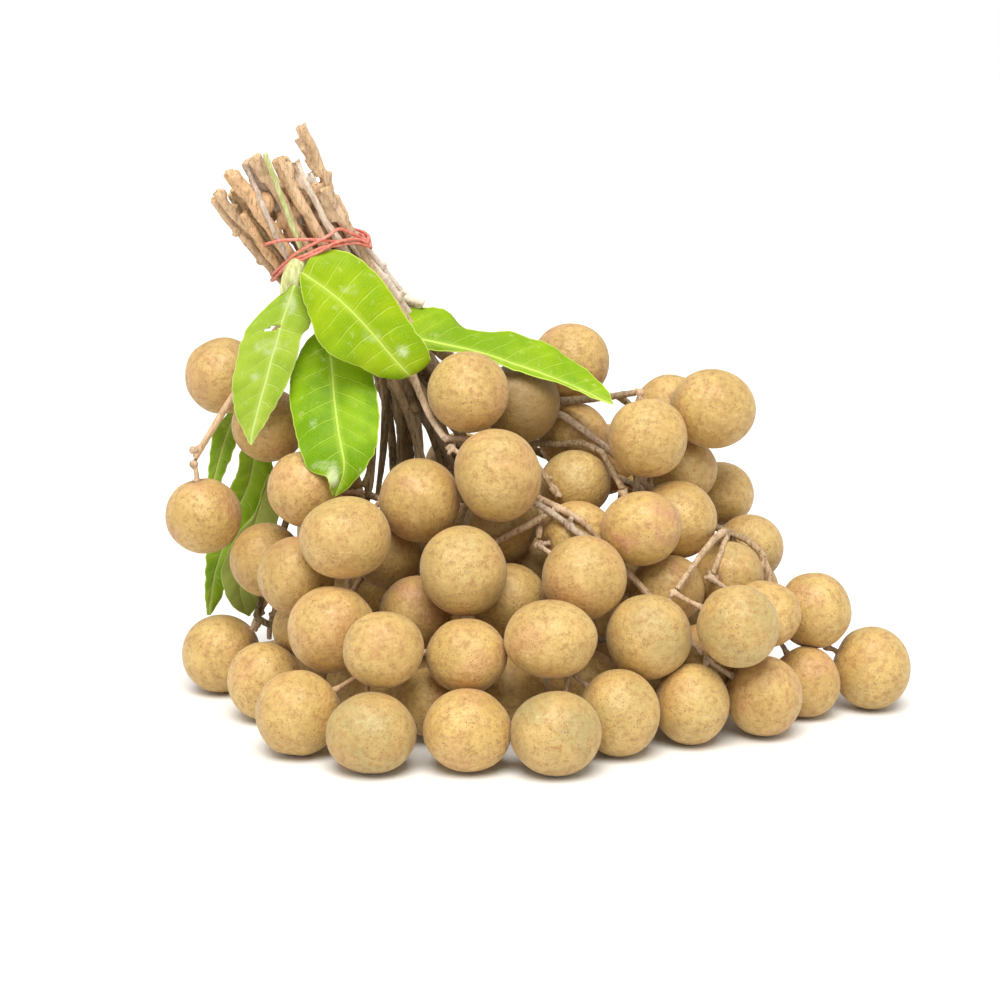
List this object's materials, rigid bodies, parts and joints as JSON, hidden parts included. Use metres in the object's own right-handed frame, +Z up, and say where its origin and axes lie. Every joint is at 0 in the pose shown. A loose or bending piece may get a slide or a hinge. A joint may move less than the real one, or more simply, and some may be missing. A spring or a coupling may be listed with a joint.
{
  "type": "longan bunch",
  "caption": "Bunch of ripe longans on cut woody stems held by a rubber band, with a few green leaves, lying on its heap of fruit.",
  "frame": {"origin": "middle of the base of its bounding box, on the surface that the bunch rests on", "axes": "+Z up from the surface, +X towards the right end of the heap, -Y towards the front of the heap, where the leaves are"},
  "size_m": [0.255, 0.158, 0.1975],
  "materials": {
    "skin": "dry thin rough fruit skin, tan with fine brown specks",
    "bark": "rough brown bark with pale specks, and pale wood at the cuts",
    "green_stalk": "smooth pale green skin of a young stalk",
    "leaf": "waxy, satin, yellow-green with paler veins",
    "band": "matt, salmon red"
  },
  "bodies": {
    "root": {"fruit_pair_06": "skin", "fruit_pair_08": "skin", "fruit_pair_13": "skin", "fruit_pair_15": "skin", "fruit_pair_16": "skin", "fruit_pair_17": "skin", "fruit_pair_18": "skin", "fruit_pair_19": "skin", "fruit_pair_23": "skin", "fruit_pair_24": "skin", "fruit_pair_25": "skin", "fruit_pair_26": "skin", "fruit_pair_29": "skin", "fruit_pair_30": "skin", "fruit_pair_31": "skin", "fruit_pair_32": "skin", "fruit_pair_34": "skin", "fruit_pair_35": "skin", "fruit_pair_37": "skin", "fruit_pair_38": "skin", "fruit_single_01": "skin", "fruit_single_02": "skin", "fruit_single_03": "skin", "fruit_single_04": "skin", "fruit_single_05": "skin", "fruit_trio_07": "skin", "fruit_trio_09": "skin", "fruit_trio_10": "skin", "fruit_trio_11": "skin", "fruit_trio_12": "skin", "fruit_trio_14": "skin", "fruit_trio_20": "skin", "fruit_trio_21": "skin", "fruit_trio_22": "skin", "fruit_trio_27": "skin", "fruit_trio_28": "skin", "fruit_trio_33": "skin", "fruit_trio_36": "skin", "leaf_back_long": "leaf", "leaf_back_low": "leaf", "leaf_back_top": "leaf", "leaf_centre": "leaf", "leaf_left": "leaf", "leaf_low": "leaf", "leaf_right": "leaf", "leaf_stalk_back": "green_stalk", "leaf_stalk_front": "green_stalk", "rubber_band": "band", "stem_back": "bark", "stem_back_left": "bark", "stem_core": "bark", "stem_far_right": "bark", "stem_forked": "bark", "stem_front": "bark", "stem_left": "bark", "stem_middle": "bark", "stem_right": "bark", "stem_thick": "bark", "stem_top": "bark", "stem_twisted": "bark"}
  },
  "joints": []
}
